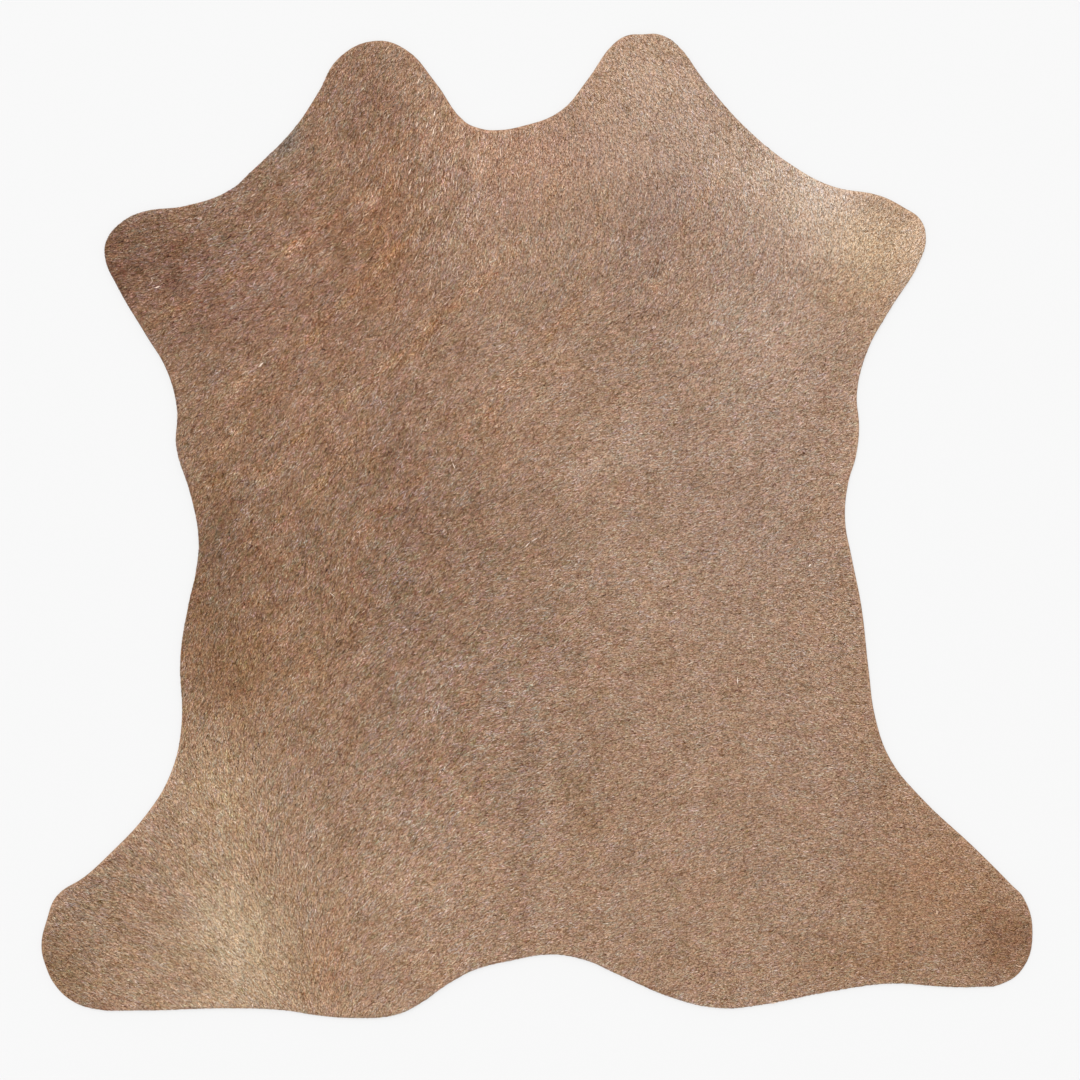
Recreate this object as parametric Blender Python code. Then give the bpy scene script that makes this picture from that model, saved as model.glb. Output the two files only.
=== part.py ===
"""A hair-on cowhide, knife-cut from one skin and laid flat with its hair side up.

Metres, +Z up. The hide lies on the XY plane with its neck towards +Y, and the origin is
under the middle of its outline. The solid is the leather with its short coat lying on it.
"""

from math import cos, exp, radians, sin

import bmesh
import bpy
from mathutils import Vector

MM = 0.001

# Driving dimensions, in millimetres
LEATHER_THICKNESS = 2.0
COAT_THICKNESS = 2.5
RIM_ROUNDING = 1.8
RIM_SEGMENTS = 2
GRID_PITCH = 32.0
OUTLINE_STEPS = 5
WELD_REACH = 0.01
GRID_SNAP = 1.5

# Colour and finish of the coat
COAT_COLOUR = (0.356, 0.227, 0.153, 1.0)
COAT_ROUGHNESS = 0.75

# The knife-cut edge, clockwise seen from above.
# Each row: the stretch of the edge, then its turning points (x, y) from the middle of the hide
EDGE = (
    ("left neck lobe", ((-184, 434), (-150, 450), (-122, 442), (-94, 411))),
    ("neck notch", ((-67, 375), (-54, 369), (-41, 367), (-13, 371), (22, 385), (47, 414))),
    ("right neck lobe", ((71, 447), (84, 455), (98, 456), (113, 456), (128, 448), (156, 412))),
    ("right shoulder", ((193, 370), (239, 333), (274, 315), (319, 306))),
    ("right front leg", ((341, 295), (356, 284), (361, 267), (356, 247), (326, 198))),
    ("right armpit", ((307, 163), (297, 123), (299, 91), (296, 64))),
    ("right waist", ((289, 40), (286, 5), (292, -29), (301, -74), (308, -135), (314, -178))),
    ("right hind leg", ((328, -217), (357, -253), (405, -298), (440, -333))),
    ("right hind foot", ((452, -346), (460, -378), (451, -411), (430, -426), (412, -428))),
    ("lower right edge", ((378, -428), (330, -425), (274, -432), (207, -445), (172, -448), (131, -440))),
    ("tail notch", ((76, -417), (44, -403), (12, -398), (-25, -404), (-57, -412))),
    ("left buttock", ((-82, -425), (-111, -445), (-131, -454), (-172, -457), (-208, -454))),
    ("lower left edge", ((-233, -450), (-290, -448), (-370, -450), (-414, -448))),
    ("left hind foot", ((-432, -441), (-447, -427), (-456, -409), (-460, -390), (-455, -366))),
    ("left hind leg", ((-446, -344), (-420, -326), (-399, -307), (-361, -266), (-340, -230), (-330, -186))),
    ("left waist", ((-331, -122), (-323, -71), (-317, -45), (-314, -14), (-321, 27), (-335, 74), (-334, 107))),
    ("left armpit", ((-344, 145), (-363, 177), (-390, 223))),
    ("left front leg", ((-401, 249), (-399, 266), (-385, 282), (-367, 291), (-325, 297))),
    ("left shoulder", ((-284, 312), (-266, 328), (-226, 368), (-203, 402))),
)

# Where the coat lies a little thicker or thinner, as soft ridges and troughs.
# Each row: the place, its middle (x, y), half its length, half its width, its heading in degrees, its rise
SWELLS = (
    ("neck ridge", 30, 330, 150, 60, 75, 0.5),
    ("shoulder trough", -120, 230, 220, 45, 45, -0.5),
    ("shoulder ridge", -190, 150, 240, 45, 42, 0.4),
    ("back trough", -90, -20, 300, 70, 40, -0.6),
    ("flank ridge", -220, -60, 120, 40, 35, 0.5),
    ("right flank ridge", 180, 60, 260, 80, 30, 0.5),
    ("right leg trough", 280, 260, 90, 50, -30, -0.4),
    ("thigh parting", -290, -330, 160, 24, -62, -0.9),
    ("rump ridge", 60, -260, 220, 90, 15, 0.4),
    ("right thigh trough", 330, -330, 130, 50, -35, -0.4),
)


def clear_scene():
    """Removes whatever the scene holds, so that the hide is alone in it."""
    for leftover in list(bpy.data.objects):
        bpy.data.objects.remove(leftover, do_unlink=True)


def coat_material():
    """The taupe coat, matt to satin."""
    material = bpy.data.materials.new("coat")
    material.use_nodes = True
    shader = material.node_tree.nodes["Principled BSDF"]
    shader.inputs["Base Color"].default_value = COAT_COLOUR
    shader.inputs["Roughness"].default_value = COAT_ROUGHNESS
    shader.inputs["Metallic"].default_value = 0.0
    material.diffuse_color = COAT_COLOUR
    return material


def edge_guide():
    """The knife-cut edge as one closed smooth curve through its turning points."""
    points = [point for _, stretch in EDGE for point in stretch]
    curve = bpy.data.curves.new("edge_guide", "CURVE")
    curve.dimensions = "3D"
    curve.resolution_u = OUTLINE_STEPS
    spline = curve.splines.new("BEZIER")
    spline.bezier_points.add(len(points) - 1)
    spline.use_cyclic_u = True
    for knot, (x, y) in zip(spline.bezier_points, points):
        knot.co = (x * MM, y * MM, 0.0)
        knot.handle_left_type = "AUTO"
        knot.handle_right_type = "AUTO"
    guide = bpy.data.objects.new("edge_guide", curve)
    bpy.context.scene.collection.objects.link(guide)
    return guide


def outline_slab(thickness):
    """The outline filled and raised to the thickness of leather and coat."""
    guide = edge_guide()
    ring = bpy.data.meshes.new_from_object(guide.evaluated_get(bpy.context.evaluated_depsgraph_get()))
    slab = bmesh.new()
    slab.from_mesh(ring)
    bpy.data.objects.remove(guide, do_unlink=True)
    bpy.data.meshes.remove(ring)
    bmesh.ops.remove_doubles(slab, verts=slab.verts, dist=WELD_REACH * MM)
    underside = bmesh.ops.edgeloop_fill(slab, edges=slab.edges)["faces"]
    raised = bmesh.ops.extrude_face_region(slab, geom=underside)["geom"]
    raised_corners = [item for item in raised if isinstance(item, bmesh.types.BMVert)]
    bmesh.ops.translate(slab, verts=raised_corners, vec=(0.0, 0.0, thickness))
    bmesh.ops.recalc_face_normals(slab, faces=slab.faces)
    return slab


def round_upper_rim(slab, thickness):
    """Turns the coat down over the cut edge all the way round."""
    upper_rim = [
        edge for edge in slab.edges if all(vertex.co.z > thickness / 2 for vertex in edge.verts)
    ]
    bmesh.ops.bevel(
        slab,
        geom=upper_rim,
        offset=RIM_ROUNDING * MM,
        segments=RIM_SEGMENTS,
        profile=0.5,
        affect="EDGES",
        clamp_overlap=True,
        material=-1,
    )


def cut_into_grid(slab):
    """Cuts the slab along upright planes, a grid pitch apart both ways, so that its top can swell."""
    pitch = GRID_PITCH * MM
    for axis in (Vector((1.0, 0.0, 0.0)), Vector((0.0, 1.0, 0.0))):
        reach = max(vertex.co.dot(axis) for vertex in slab.verts)
        cuts = int(reach / pitch)
        for step in range(-cuts, cuts + 1):
            bmesh.ops.bisect_plane(
                slab,
                geom=slab.verts[:] + slab.edges[:] + slab.faces[:],
                dist=GRID_SNAP * MM,
                plane_co=axis * step * pitch,
                plane_no=axis,
            )


def swell_at(x, y):
    """How far the top stands above its even height at a point, all in millimetres."""
    total = 0.0
    for _, middle_x, middle_y, half_length, half_width, heading, rise in SWELLS:
        east, north = x - middle_x, y - middle_y
        along = east * cos(radians(heading)) + north * sin(radians(heading))
        across = north * cos(radians(heading)) - east * sin(radians(heading))
        total += rise * exp(-((along / half_length) ** 2) - (across / half_width) ** 2)
    return total


def swell_top(slab, thickness):
    """Raises and lowers the top along its ridges and troughs, and leaves the underside flat."""
    for vertex in slab.verts:
        share = (vertex.co.z / thickness) ** 2
        vertex.co.z += share * swell_at(vertex.co.x / MM, vertex.co.y / MM) * MM


def build_hide():
    """The whole skin as one closed solid."""
    thickness = (LEATHER_THICKNESS + COAT_THICKNESS) * MM
    slab = outline_slab(thickness)
    round_upper_rim(slab, thickness)
    cut_into_grid(slab)
    swell_top(slab, thickness)
    bmesh.ops.triangulate(slab, faces=slab.faces, quad_method="SHORT_EDGE", ngon_method="BEAUTY")
    mesh = bpy.data.meshes.new("hide")
    slab.to_mesh(mesh)
    slab.free()
    mesh.materials.append(coat_material())
    hide = bpy.data.objects.new("hide", mesh)
    bpy.context.scene.collection.objects.link(hide)


clear_scene()
build_hide()
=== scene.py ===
# %% [markdown]
# # A hair-on cowhide, laid flat
#
# The object is one skin, tanned with its hair on and knife-cut along a smooth outline. Nearly all
# that shows is hair: short locks that lie one over another and turn slowly across the skin, like
# grass in wind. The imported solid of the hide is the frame. It gives the outline, the thickness and
# the soft swells, and nothing below changes its size.
#
# The steps are: the frame, the way the hair lies, its colours, the leather, the locks, a few loose
# hairs, and last the floor, the light and the camera.

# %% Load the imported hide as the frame
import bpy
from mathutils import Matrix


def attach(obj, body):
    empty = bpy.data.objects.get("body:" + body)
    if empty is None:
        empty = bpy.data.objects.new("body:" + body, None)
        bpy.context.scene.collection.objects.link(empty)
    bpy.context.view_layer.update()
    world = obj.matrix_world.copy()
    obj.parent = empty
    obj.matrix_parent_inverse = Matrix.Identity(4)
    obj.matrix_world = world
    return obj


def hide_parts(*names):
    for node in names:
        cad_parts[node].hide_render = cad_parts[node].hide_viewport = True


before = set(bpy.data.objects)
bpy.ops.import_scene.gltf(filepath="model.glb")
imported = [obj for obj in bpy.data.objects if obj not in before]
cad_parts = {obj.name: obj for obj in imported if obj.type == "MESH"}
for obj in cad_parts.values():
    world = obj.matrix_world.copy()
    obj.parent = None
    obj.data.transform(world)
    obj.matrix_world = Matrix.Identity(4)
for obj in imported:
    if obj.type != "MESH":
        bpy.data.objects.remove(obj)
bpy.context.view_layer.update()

# %% Modules, and one unit for every size below
from math import ceil, cos, degrees, radians, sin

import bmesh
import bpy
import numpy as np
from mathutils import Matrix, Vector
from mathutils.bvhtree import BVHTree

MM = 0.001
scene = bpy.context.scene

# %% [markdown]
# ## The cut edge
#
# A maker lays a pattern on the skin and cuts round it with a knife, so the hair ends sharply where
# the leather does. The edge could be drawn here again, but it would then have to agree with the
# solid to a tenth of a millimetre. It is read from the solid instead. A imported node's mesh is loose
# triangles, so a copy of it is merged first. The cut edge is where its underside meets its sides.

# %% Read the cut edge from the solid
WELD = 0.01
FACING_DOWN = -0.9


def merged_copy(node):
    """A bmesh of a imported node, with its loose triangles joined at their corners."""
    shape = bmesh.new()
    shape.from_mesh(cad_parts[node].data)
    bmesh.ops.remove_doubles(shape, verts=shape.verts, dist=WELD * MM)
    shape.normal_update()
    return shape


def cut_edge(shape):
    """The two ends of each stretch of the cut edge, in millimetres."""
    stretches = []
    for edge in shape.edges:
        looks_down = [face.normal.z < FACING_DOWN for face in edge.link_faces]
        if any(looks_down) and not all(looks_down):
            stretches.append([tuple(vertex.co.xy / MM) for vertex in edge.verts])
    return np.array(stretches)


solid = merged_copy("hide")
edge_starts, edge_ends = cut_edge(solid).transpose(1, 0, 2)
edge_ways = edge_ends - edge_starts
print(len(edge_starts), "stretches of cut edge,", round(np.hypot(*edge_ways.T).sum()), "mm round")

# %% [markdown]
# ## How deep a point lies inside the edge
#
# Locks start inside the edge and are trimmed where they pass it. Both need one measure: the gap from
# a point to the nearest stretch of the edge, taken as less than nothing outside. A point is inside if
# a straight line from it towards +X crosses the edge an odd number of times.

# %% Measure depth inside the cut edge
BATCH = 8000
LEAST_CLIMB = 1e-9


def depth_inside(points):
    """How far each point lies inside the cut edge, in millimetres, and less than 0 outside it."""
    depths = np.empty(len(points))
    climb = np.where(np.abs(edge_ways[:, 1]) < LEAST_CLIMB, LEAST_CLIMB, edge_ways[:, 1])
    for start in range(0, len(points), BATCH):
        batch = points[start:start + BATCH, None, :]
        offset = batch - edge_starts
        share = np.clip((offset * edge_ways).sum(-1) / (edge_ways**2).sum(-1), 0, 1)
        away = offset - share[..., None] * edge_ways
        gap = np.sqrt((away**2).sum(-1).min(1))
        level = (edge_starts[:, 1] > batch[..., 1]) != (edge_ends[:, 1] > batch[..., 1])
        crossing = edge_starts[:, 0] + offset[..., 1] / climb * edge_ways[:, 0]
        inside = (level & (batch[..., 0] < crossing)).sum(1) % 2 == 1
        depths[start:start + BATCH] = np.where(inside, gap, -gap)
    return depths


print("the middle of the hide lies", round(depth_inside(np.zeros((1, 2)))[0]), "mm inside its edge")

# %% [markdown]
# ## The way the hair lies
#
# Hair on a skin lies in one slowly turning direction, down from the neck, and it meets in a parting
# where the flank joins the thigh. Painting that by hand would be a comb brush in the hair editor. In
# a script, a short table of places does the same: each row is a place on the hide and the way the
# tips point there, in degrees from +X. Between the rows the directions are mixed by nearness.

# %% Comb the hair
# Each row: place, x, y, the way the tips point in degrees
COMBING = (
    ("left neck lobe", -170, 400, -114),
    ("left neck root", -125, 335, -106),
    ("neck notch", -45, 325, -97),
    ("right neck root", 45, 325, -82),
    ("right neck lobe", 100, 405, -58),
    ("right shoulder", 175, 345, -73),
    ("right front leg, root", 245, 285, -78),
    ("right front leg, foot", 340, 265, -130),
    ("right armpit", 290, 190, -140),
    ("neck middle", -85, 245, -109),
    ("breast", 0, 250, -98),
    ("right breast", 100, 250, -116),
    ("right breast, outer", 190, 240, -118),
    ("left shoulder", -210, 275, -136),
    ("left front leg, foot", -360, 265, -163),
    ("left front leg, root", -295, 225, -150),
    ("left armpit", -320, 150, -138),
    ("left chest", -220, 170, -133),
    ("chest, left of middle", -125, 170, -130),
    ("chest", -45, 180, -145),
    ("chest, right of middle", 60, 180, -150),
    ("right chest", 190, 180, -142),
    ("left side", -295, 80, -124),
    ("left of the back", -165, 70, -122),
    ("back", -50, 75, -137),
    ("middle of the back", 0, 30, -142),
    ("right of the back", 60, 80, -162),
    ("right side", 230, 80, -162),
    ("left waist", -300, -30, -120),
    ("inside the left waist", -195, -40, -117),
    ("saddle, left", -110, -60, -140),
    ("saddle", 0, -60, -155),
    ("saddle, right", 135, -60, -167),
    ("right of the waist", 240, -5, -156),
    ("right waist", 260, -75, -182),
    ("left flank", -300, -155, -104),
    ("inside the left flank", -215, -155, -122),
    ("loin, left", -125, -165, -134),
    ("loin", 0, -170, -162),
    ("loin, right", 135, -170, -176),
    ("right flank", 275, -180, -186),
    ("top of the parting", -280, -240, -68),
    ("inside the left thigh", -220, -250, -124),
    ("rump, left", -125, -265, -138),
    ("rump", 0, -275, -158),
    ("rump, right", 135, -275, -160),
    ("right thigh", 270, -280, -176),
    ("left thigh, outer", -335, -285, -42),
    ("beside the parting, upper", -268, -298, -60),
    ("right of the parting, upper", -205, -300, -124),
    ("left hind leg", -395, -365, -19),
    ("left hind foot", -430, -405, -14),
    ("left hind leg, lower edge", -330, -420, -24),
    ("middle of the parting", -272, -350, -50),
    ("foot of the parting", -270, -415, -42),
    ("on the parting, low", -222, -385, -74),
    ("left buttock", -160, -380, -136),
    ("left of the tail", -100, -370, -144),
    ("tail notch", -5, -355, -162),
    ("right buttock", 135, -380, -162),
    ("lower right edge", 245, -400, -168),
    ("right hind leg", 335, -345, -179),
    ("right hind foot", 420, -365, -189),
)
COMBING_REACH = 35.0
FAR_PULL = 1e-3

places = np.array([row[1:3] for row in COMBING], float)
headings = np.radians([row[3] for row in COMBING])
place_ways = np.stack([np.cos(headings), np.sin(headings)], 1)


def combed_way(points):
    """The unit direction in which the tips point at each point."""
    gaps = ((points[:, None, :] - places) ** 2).sum(-1)
    nearness = np.exp(-gaps / (2 * COMBING_REACH**2)) + FAR_PULL / (1 + gaps / COMBING_REACH**2) ** 2
    mixed = nearness @ place_ways
    return mixed / np.linalg.norm(mixed, axis=1, keepdims=True)


print(len(COMBING), "places comb the hair, and in the middle its tips point to",
      round(degrees(np.arctan2(*combed_way(np.zeros((1, 2)))[0, ::-1]))), "degrees")

# %% [markdown]
# ## Smooth chance, and chance drawn out by the comb
#
# A coat is never even: locks clump, tones drift. Numbers that drift smoothly come from a lattice of
# random values with soft steps between them. Where they should follow the hair, each point takes the
# mean of such values along its own strand line, a few steps ahead and a few behind, which draws the
# blots out into streaks that bend with the coat.

# %% Smooth noise, and noise combed into streaks
LATTICE = 512
FEWEST_STEPS = 3


def smooth_noise(points, pitch, seed):
    """A smooth random value for each point, about -1 to 1, free to change once in each pitch."""
    values = np.random.default_rng(seed).uniform(-1, 1, (LATTICE, LATTICE))
    place = points / pitch
    cell = np.floor(place).astype(int)
    part = place - cell
    part = part * part * (3 - 2 * part)
    column, row = cell.T % LATTICE
    next_column, next_row = (cell.T + 1) % LATTICE
    low = values[column, row] * (1 - part[:, 0]) + values[next_column, row] * part[:, 0]
    high = values[column, next_row] * (1 - part[:, 0]) + values[next_column, next_row] * part[:, 0]
    return low * (1 - part[:, 1]) + high * part[:, 1]


def streak_noise(points, pitch, reach, seed):
    """Noise of that pitch drawn out along the hair to that reach either way, with a spread of 1."""
    total = smooth_noise(points, pitch, seed)
    steps = max(FEWEST_STEPS, round(reach / pitch))
    for side in (-1, 1):
        here = points
        for _ in range(steps):
            here = here + side * reach / steps * combed_way(here)
            total = total + smooth_noise(here, pitch, seed)
    return total / total.std()


sample_places = np.random.default_rng(1).uniform(-200, 200, (2000, 2))
sample = streak_noise(sample_places, pitch=4, reach=16, seed=2)
print("a short sample of streaks runs from", sample.min().round(1), "to", sample.max().round(1))

# %% [markdown]
# ## The colours of the coat
#
# The coat is taupe, darker on the left shoulder and flank, pale on the right shoulder and beside the
# parting. The darker left and the paler right are partly the coat's own tone and partly painted
# sheen, for the way the lying hair catches the light. Those are broad, soft patches, so each is one
# row: a place, its half length and half width, its heading, and how far it moves red, green and
# blue. A second table with the same columns holds flecks of a few locks, and one contrast value
# scales them all. The steps are in 255ths of the screen's own scale, because that is how an eye reads
# them from a picture; Blender's colours are linear, so the sum is turned into linear light at the end.

# %% The patches of the coat
TAUPE = np.array((160.8, 132.1, 108.4))
PATCH_CONTRAST = 1.05

# Each row: place, x, y, half length, half width, heading, red, green, blue
PATCHES = (
    # Partly painted sheen: the darker left side and left front leg, and the paler right shoulder.
    ("left side", -210, 60, 190, 110, 90, -8, -11, -14),
    ("rosy upper left", -170, 170, 170, 150, 0, 0.6, -1.2, 0.6),
    ("right of the neck", 190, 290, 200, 110, -35, 8, 10, 14),
    ("right side", 170, 10, 230, 110, 90, 0, 1, 3),
    ("loin", -80, -150, 120, 100, 0, -7, -7, -6),
    ("left hind leg", -270, -340, 150, 90, 0, 6, 6, 4),
    ("left front leg", -350, 248, 60, 46, 0, -30, -33, -32),
    ("tip of the left front leg", -398, 238, 24, 46, 0, -19, -23, -25),
    ("lower rim of the left front leg", -375, 200, 36, 14, -58, -9, -10, -11),
    ("left armpit", -335, 165, 50, 40, 0, -8, -9, -9),
    ("edge of the left side", -310, 105, 75, 30, 90, -5, -5, -6),
    ("rim of the left side", -334, 112, 50, 9, 90, -5, -5, -5),
    ("left side, low", -310, 34, 30, 16, 90, 6, 6, 5),
    ("rim of the left waist", -318, -65, 60, 12, 90, -5, -7, -10),
    ("left shoulder", -270, 225, 95, 60, 25, -7, -9, -7),
    ("upper left chest", -212, 272, 50, 22, 30, 2, 1, 0),
    ("left of the neck", -160, 300, 40, 30, 0, 4, 3, 2),
    ("left breast", -86, 345, 28, 24, 0, 2, 2, 3),
    ("left breast, warm", -131, 262, 26, 26, 0, 3, 0, -4),
    ("left breast, low", -135, 225, 36, 36, 0, -3, -6, -9),
    ("breast", -42, 262, 40, 26, 0, 10, 9, 8),
    ("breast, right", 25, 263, 40, 22, 0, 4, 4, 4),
    ("left neck lobe", -160, 395, 50, 60, 60, -8, -12, -12),
    ("left neck, warm", -131, 352, 26, 26, 0, 3, 0, -3),
    ("notch edge of the left neck lobe", -104, 400, 34, 14, -50, 18, 17, 16),
    ("rim of the notch", -10, 372, 62, 13, 6, 4, 4, 5),
    ("left of the notch", -84, 343, 22, 30, -30, 9, 9, 9),
    ("chest, left of middle", -131, 174, 28, 26, 0, -3, -3, -3),
    ("left of the throat", -131, 305, 26, 22, 0, 4, 4, 4),
    ("right of the notch", 25, 352, 44, 24, 0, -4, -4, -1),
    ("edge of the left neck", -240, 316, 60, 28, 50, -7, -8, -8),
    ("rim of the left neck", -278, 320, 34, 14, 40, -14, -14, -13),
    ("upper rim of the left front leg", -345, 288, 40, 10, 10, -5, -5, -5),
    ("rim of the left neck lobe", -205, 400, 40, 12, 56, -3, -6, -9),
    ("blue-grey spot", -231, 358, 15, 10, 50, -23, -7, 3),
    ("brown breast", -160, 285, 60, 45, 60, -8, -12, -16),
    ("below the notch", -25, 338, 90, 42, 0, 19, 14, 12),
    ("throat", -36, 308, 40, 22, 0, -5, -5, -3),
    ("right neck lobe", 97, 425, 50, 42, 90, 22, 23, 23),
    ("right neck lobe, right edge", 142, 402, 26, 20, -52, 14, 15, 16),
    ("right neck lobe, left edge", 50, 396, 24, 20, 90, 8, 7, 6),
    ("right neck root", 112, 352, 62, 34, 0, 9, 10, 11),
    ("whitish right shoulder", 245, 310, 90, 42, -35, 29, 35, 36),
    ("edge of the right shoulder", 278, 312, 34, 18, -25, 15, 17, 21),
    ("above the right armpit", 314, 214, 26, 16, 0, 2, 0, -3),
    ("golden right front leg", 315, 258, 48, 42, 0, 18, 18, 10),
    ("tip of the right front leg", 354, 264, 18, 34, 0, 23, 25, 26),
    ("lower rim of the right front leg", 322, 196, 36, 14, 60, 9, 9, 8),
    ("root of the right front leg", 250, 262, 40, 26, 0, 6, 6, 7),
    ("mauve throat", 110, 262, 70, 30, 80, -7, -7, -4),
    ("right chest", 216, 163, 75, 60, 0, 9, 11, 12),
    ("right chest, upper", 136, 218, 28, 26, 0, 4, 4, 4),
    ("right chest, warm", 270, 218, 26, 26, 0, 2, 0, -3),
    ("rim of the right armpit", 293, 88, 46, 13, 90, 11, 11, 11),
    ("chest, middle", 3, 129, 28, 26, 0, 6, 6, 6),
    ("pale spot, middle", 77, 70, 30, 22, 20, 12, 14, 16),
    ("pale spot, low", 40, 50, 20, 14, 20, 10, 12, 14),
    ("brown spot", 151, 40, 9, 9, 0, -12, -12, -14),
    ("right flank", 222, 35, 90, 110, 0, 3, 4, 6),
    ("left of the back", -132, 58, 60, 26, 90, -9, -9, -8),
    ("left of the back, high", -131, 129, 28, 28, 0, -5, -5, -5),
    ("middle of the back", -16, 62, 50, 34, 40, 8, 7, 6),
    ("dark back", -80, -5, 120, 60, 40, -14, -14, -13),
    ("dark dot, left", -44, -32, 9, 8, 0, -10, -10, -10),
    ("dark dot, right", 21, -32, 9, 8, 0, -10, -10, -10),
    ("chest, right of middle", 22, 152, 34, 26, -50, 4, 4, 4),
    ("right of the dark back", -40, -2, 22, 20, 0, 6, 6, 6),
    ("below the dark back", -86, -50, 24, 22, 0, 4, 4, 4),
    ("right of the saddle", 112, -50, 44, 24, 0, 5, 5, 5),
    ("saddle, far left", -242, -50, 36, 16, 0, -4, -4, -4),
    ("saddle, left", -131, -93, 30, 30, 0, -4, -4, -4),
    ("saddle", 3, -93, 28, 28, 0, -6, -6, -6),
    ("loin, right of middle", 47, -192, 26, 38, 0, -6, -6, -6),
    ("inside the left waist", -218, -12, 38, 34, 0, -10, -10, -10),
    ("inside the right armpit", 268, 135, 26, 40, 0, -4, -4, -3),
    ("loin, far left", -175, -185, 30, 34, 0, -3, -4, -6),
    ("left flank", -295, -22, 40, 75, 0, -22, -23, -24),
    ("left thigh, upper", -290, -130, 50, 50, 0, -15, -19, -24),
    ("inside the flank", -212, -135, 45, 70, -10, 1, -1, -4),
    ("above the thigh", -240, -186, 45, 20, 0, -5, -5, -5),
    ("inner thigh", -220, -227, 26, 26, 0, -4, -4, -4),
    ("pale thigh", -298, -242, 45, 60, 0, 13, 14, 9),
    ("rim of the left thigh", -340, -226, 30, 13, 75, 6, 6, 6),
    ("edge of the left thigh", -355, -275, 34, 20, 40, 5, 5, 6),
    ("cream patch", -278, -388, 48, 72, 20, 27, 31, 26),
    ("upper edge of the cream patch", -309, -360, 28, 28, 0, 6, 7, 9),
    ("rim of the cream patch", -298, -443, 75, 12, 0, 12, 12, 11),
    ("below the pale thigh", -312, -275, 24, 20, 0, -4, -4, -4),
    ("right of the cream patch", -222, -405, 20, 30, 0, -4, -4, -5),
    ("heel of the left hind leg", -366, -407, 48, 28, 0, 8, 8, 6),
    ("rim of the left hind leg", -420, -335, 32, 12, 45, -9, -9, -9),
    ("left hind foot", -442, -408, 32, 36, 0, -12, -12, -15),
    ("lower rim of the left hind foot", -434, -436, 34, 12, -35, -10, -10, -10),
    ("tip of the left hind foot", -456, -396, 13, 30, 0, -13, -13, -13),
    ("tip of the right hind foot", 459, -392, 12, 34, 0, -6, -6, -6),
    ("loin, right", 136, -190, 50, 28, 90, 4, 4, 4),
    ("left buttock", -90, -335, 65, 60, 0, 7, 6, 5),
    ("inner left buttock", -86, -408, 46, 20, 0, 6, 5, 3),
    ("lower edge of the left buttock", -172, -447, 46, 14, 0, 9, 9, 8),
    ("brown by the parting", -192, -403, 18, 40, 0, 6, 0, -4),
    ("brown by the parting, upper", -175, -272, 22, 26, 0, -6, -7, -8),
    ("rim of the tail notch", 26, -405, 46, 11, 0, 5, 5, 5),
    ("rim of the right hind leg", 402, -298, 40, 12, -42, 6, 6, 6),
    ("right hind leg, upper", 359, -314, 34, 22, -45, 4, 4, 5),
    ("dark line down the rump", -12, -300, 105, 9, 90, -8, -8, -7),
    ("pale line down the rump", 12, -305, 85, 6, 90, 6, 6, 7),
    ("brown rump", 49, -273, 12, 38, 0, -5, -7, -10),
    ("dark rump", 25, -228, 40, 24, 0, -7, -6, -6),
    ("right thigh, outer", 290, -245, 40, 70, 40, -1, -1, 1),
    ("edge of the right thigh", 318, -228, 26, 26, 0, -6, -6, -8),
    ("right hind leg", 365, -335, 60, 60, -45, -6, -11, -16),
    ("right hind leg, low", 300, -405, 60, 26, 0, -8, -11, -15),
    ("right hind foot", 436, -388, 34, 42, 0, -22, -27, -30),
    ("upper edge of the right hind foot", 450, -350, 18, 18, 0, 9, 11, 12),
)

# The same columns, for flecks of a few locks
FLECKS = (
    ("dark, left of the notch", -94, 342, 12, 6, 62, -19, -18, -16),
    ("dark, below the notch", -67, 335, 8, 5, 80, -16, -16, -15),
    ("dark, right of the last", -44, 326, 8, 5, 70, -14, -14, -13),
    ("black curl of the left neck", -172, 365, 7, 6, 0, -22, -21, -20),
    ("brown curl of the left neck", -135, 362, 10, 7, 90, -12, -14, -16),
    ("dark, left neck root", -150, 322, 9, 5, 90, -14, -15, -15),
    ("brown, left neck root", -110, 323, 18, 13, 20, -7, -8, -9),
    ("dark, left shoulder", -231, 297, 9, 6, 30, -12, -13, -13),
    ("dark, left front leg", -357, 272, 9, 8, 0, -9, -9, -9),
    ("bluish, left front leg", -333, 222, 10, 7, -30, -12, -10, -7),
    ("dark, breast", -79, 216, 8, 6, 45, -13, -14, -14),
    ("grey, breast", -76, 232, 12, 12, 0, -4, -2, 1),
    ("bluish, breast", -121, 230, 14, 6, 80, -4, -1, 3),
    ("dark, left side", -294, 20, 12, 11, 0, -8, -9, -9),
    ("dark, left waist", -297, -27, 12, 10, 0, -10, -9, -7),
    ("pale, left flank", -282, -116, 14, 10, -20, 8, 11, 11),
    ("white, left flank", -258, -124, 5, 5, 0, 12, 14, 15),
    ("white, loin", -98, -120, 6, 5, 0, 12, 14, 14),
    ("dark, loin", -83, -97, 8, 5, 0, -8, -8, -8),
    ("dark, saddle", -28, -87, 6, 4, 45, -9, -9, -9),
    ("dark, above the thigh", -204, -216, 9, 7, 0, -8, -8, -8),
    ("dark, left rump", -181, -283, 7, 7, 0, -8, -8, -7),
    ("dark, right shoulder", 191, 344, 9, 6, 30, -9, -10, -10),
    ("pale, right neck", 82, 349, 7, 5, 0, 9, 10, 10),
)


def soft_spot(points, x, y, half_length, half_width, heading):
    """A column of values: 1 in the middle of a soft oval spot, and less towards 0 further out."""
    along = np.array((cos(radians(heading)), sin(radians(heading))))
    across = np.array((-along[1], along[0]))
    offset = points - (x, y)
    fall = np.exp(-((offset @ along / half_length) ** 2) - (offset @ across / half_width) ** 2)
    return fall[:, None]


def patch_shift(points):
    """How far the patches move red, green and blue at each point, in 255ths of the screen's scale."""
    total = np.zeros((len(points), 3))
    for _, x, y, half_length, half_width, heading, *shift in PATCHES + FLECKS:
        total += soft_spot(points, x, y, half_length, half_width, heading) * shift
    return total * PATCH_CONTRAST


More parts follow.
